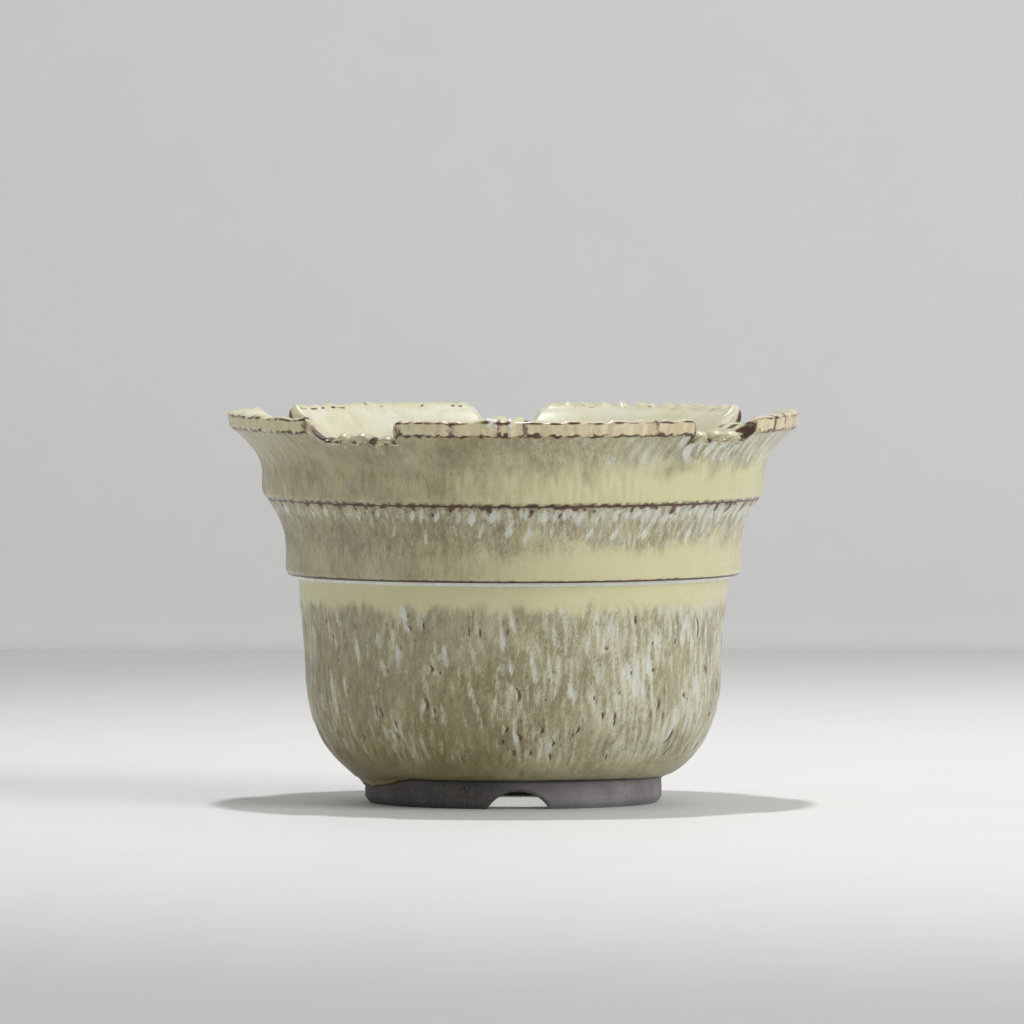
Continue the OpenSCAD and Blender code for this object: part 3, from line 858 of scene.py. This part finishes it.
pool_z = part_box("liner_glaze")[0].z / mm + 0.5
inner_wall = wall_line("liner_glaze", pool_z + 0.15, join_z + 1.6, 0.7, inside=True)
inner_wall = [(r + 0.6 * max(0, z - join_z - 0.6), z) for r, z in inner_wall]
pool = lay_out([(drain_r + 0.75, pool_z), (inner_wall[0][0] - 0.6, pool_z)], 0.6)
drain_edge = [(drain_r + 0.1, pool_z - 0.55), (drain_r + 0.05, pool_z - 0.3),
              (drain_r + 0.3, pool_z - 0.08)]
back = [(r + 0.7, z) for r, z in inner_wall[::-3]]
liner_outline = drain_edge + pool + inner_wall + back + [(inner_wall[0][0] - 0.4, pool_z - 0.75)]
liner = throw("liner_glaze_coat", liner_outline, 560)
turn, r, z, place = read(liner)
shown = (place > 1) & (place < len(drain_edge) + len(pool) + len(inner_wall) - 2)
relief = waver(turn, z + r, 14, 9, 71, girth=260, terms=16) * 0.05
relief += 0.05 * np.sin(z * 1.7 + np.sin(turn))
relief *= 1 - smooth(z, step_z + 4, step_z + 8)
swell(liner, np.where(shown, relief, 0))
note(liner, thin=soft_line(r - drain_r - 0.15, 0.4) * (z < pool_z + 0.2))
liner.data.materials.append(pale_glaze("pale_glaze"))
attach(liner, "root")
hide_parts("liner_glaze")


# Floor and backdrop. One pale sheet that runs back under the pot and sweeps up behind it.
# It shows on the pot's side only, so that it never hides the pot from behind.
wall_y = 0.75
sweep_r = 0.009
sheet_half = 3.0


def sweep_surface(name, colour):
    """Pale paper that is clear from behind."""
    material, tree, where = new_material(name)
    fibre = grain(tree, where, 0.03, detail=4)
    tone = mix(tree, between(tree, fibre, -1.0, 1.0), colour, [c * 0.985 for c in colour[:3]] + [1])
    shader = finish_surface(material, tone, 0.55, fibre, 0.01)
    clear = tree.nodes.new("ShaderNodeBsdfTransparent").outputs[0]
    either = tree.nodes.new("ShaderNodeMixShader")
    tree.links.new(tree.nodes.new("ShaderNodeNewGeometry").outputs["Backfacing"], either.inputs[0])
    tree.links.new(shader.outputs[0], either.inputs[1])
    tree.links.new(clear, either.inputs[2])
    tree.links.new(either.outputs[0], tree.nodes["Material Output"].inputs["Surface"])
    return material


bm = bmesh.new()
line = [(-sheet_half, 0.0), (wall_y - sweep_r, 0.0)]
line += [(wall_y - sweep_r + sweep_r * math.sin(a), sweep_r - sweep_r * math.cos(a))
         for a in np.linspace(0.1, math.pi / 2, 14)]
line += [(wall_y, sheet_half)]
verts = [bm.verts.new((-sheet_half, y, z)) for y, z in line]
edges = [bm.edges.new(pair) for pair in zip(verts, verts[1:])]
made = bmesh.ops.extrude_edge_only(bm, edges=edges)
far_side = [g for g in made["geom"] if isinstance(g, bmesh.types.BMVert)]
bmesh.ops.translate(bm, vec=(2 * sheet_half, 0, 0), verts=far_side)
bm.normal_update()
bm.faces.ensure_lookup_table()
if bm.faces[0].normal.z < 0:
    bmesh.ops.reverse_faces(bm, faces=bm.faces)
backdrop = settle(bm, "backdrop")
backdrop.data.materials.append(sweep_surface("pale_paper", rgb(226, 226, 226)))


# Light. One small lamp high above and a little behind, a broad soft one to the right, and
# a faint one far to the left. The room itself glows evenly.
def lamp(name, kind, size, power, place, aim):
    """A lamp at a place, turned to what it lights."""
    light = bpy.data.lights.new(name, kind)
    light.energy = power
    if kind == "SPOT":
        light.shadow_soft_size = size / 2
        light.spot_size = math.radians(46)
        light.spot_blend = 1.0
    else:
        light.shape = "DISK"
        light.size = size
    holder = bpy.data.objects.new(name, light)
    holder.location = place
    holder.rotation_euler = (Vector(aim) - Vector(place)).to_track_quat("-Z", "Y").to_euler()
    bpy.context.scene.collection.objects.link(holder)


lamp("high_lamp", "SPOT", 0.1, 70, (0.0, 0.21, 1.85), (0.22, 0.02, 0))
lamp("soft_lamp", "AREA", 2.4, 62, (2.5, -1.6, 1.5), (0, 0, 0.05))
lamp("left_fill", "AREA", 1.4, 12, (-3.0, -0.3, 0.7), (0, 0, 0.05))
world = bpy.data.worlds.new("room")
world.use_nodes = True
glow = world.node_tree.nodes["Background"]
glow.inputs["Color"].default_value = (1.0, 0.995, 0.985, 1)
glow.inputs["Strength"].default_value = 0.34
bpy.context.scene.world = world
bpy.context.scene.view_settings.view_transform = "Standard"


# Camera. A long lens at the front, a little above the rim and tipped down at the pot.
camera = bpy.data.objects.new("camera", bpy.data.cameras.new("camera"))
camera.data.lens = 711
camera.data.clip_end = 50
camera.location = (0.0, -4.6, 0.248)
aim = Vector((-0.0003, 0, 0.0660))
camera.rotation_euler = (aim - camera.location).to_track_quat("-Z", "Y").to_euler()
bpy.context.scene.collection.objects.link(camera)
bpy.context.scene.camera = camera
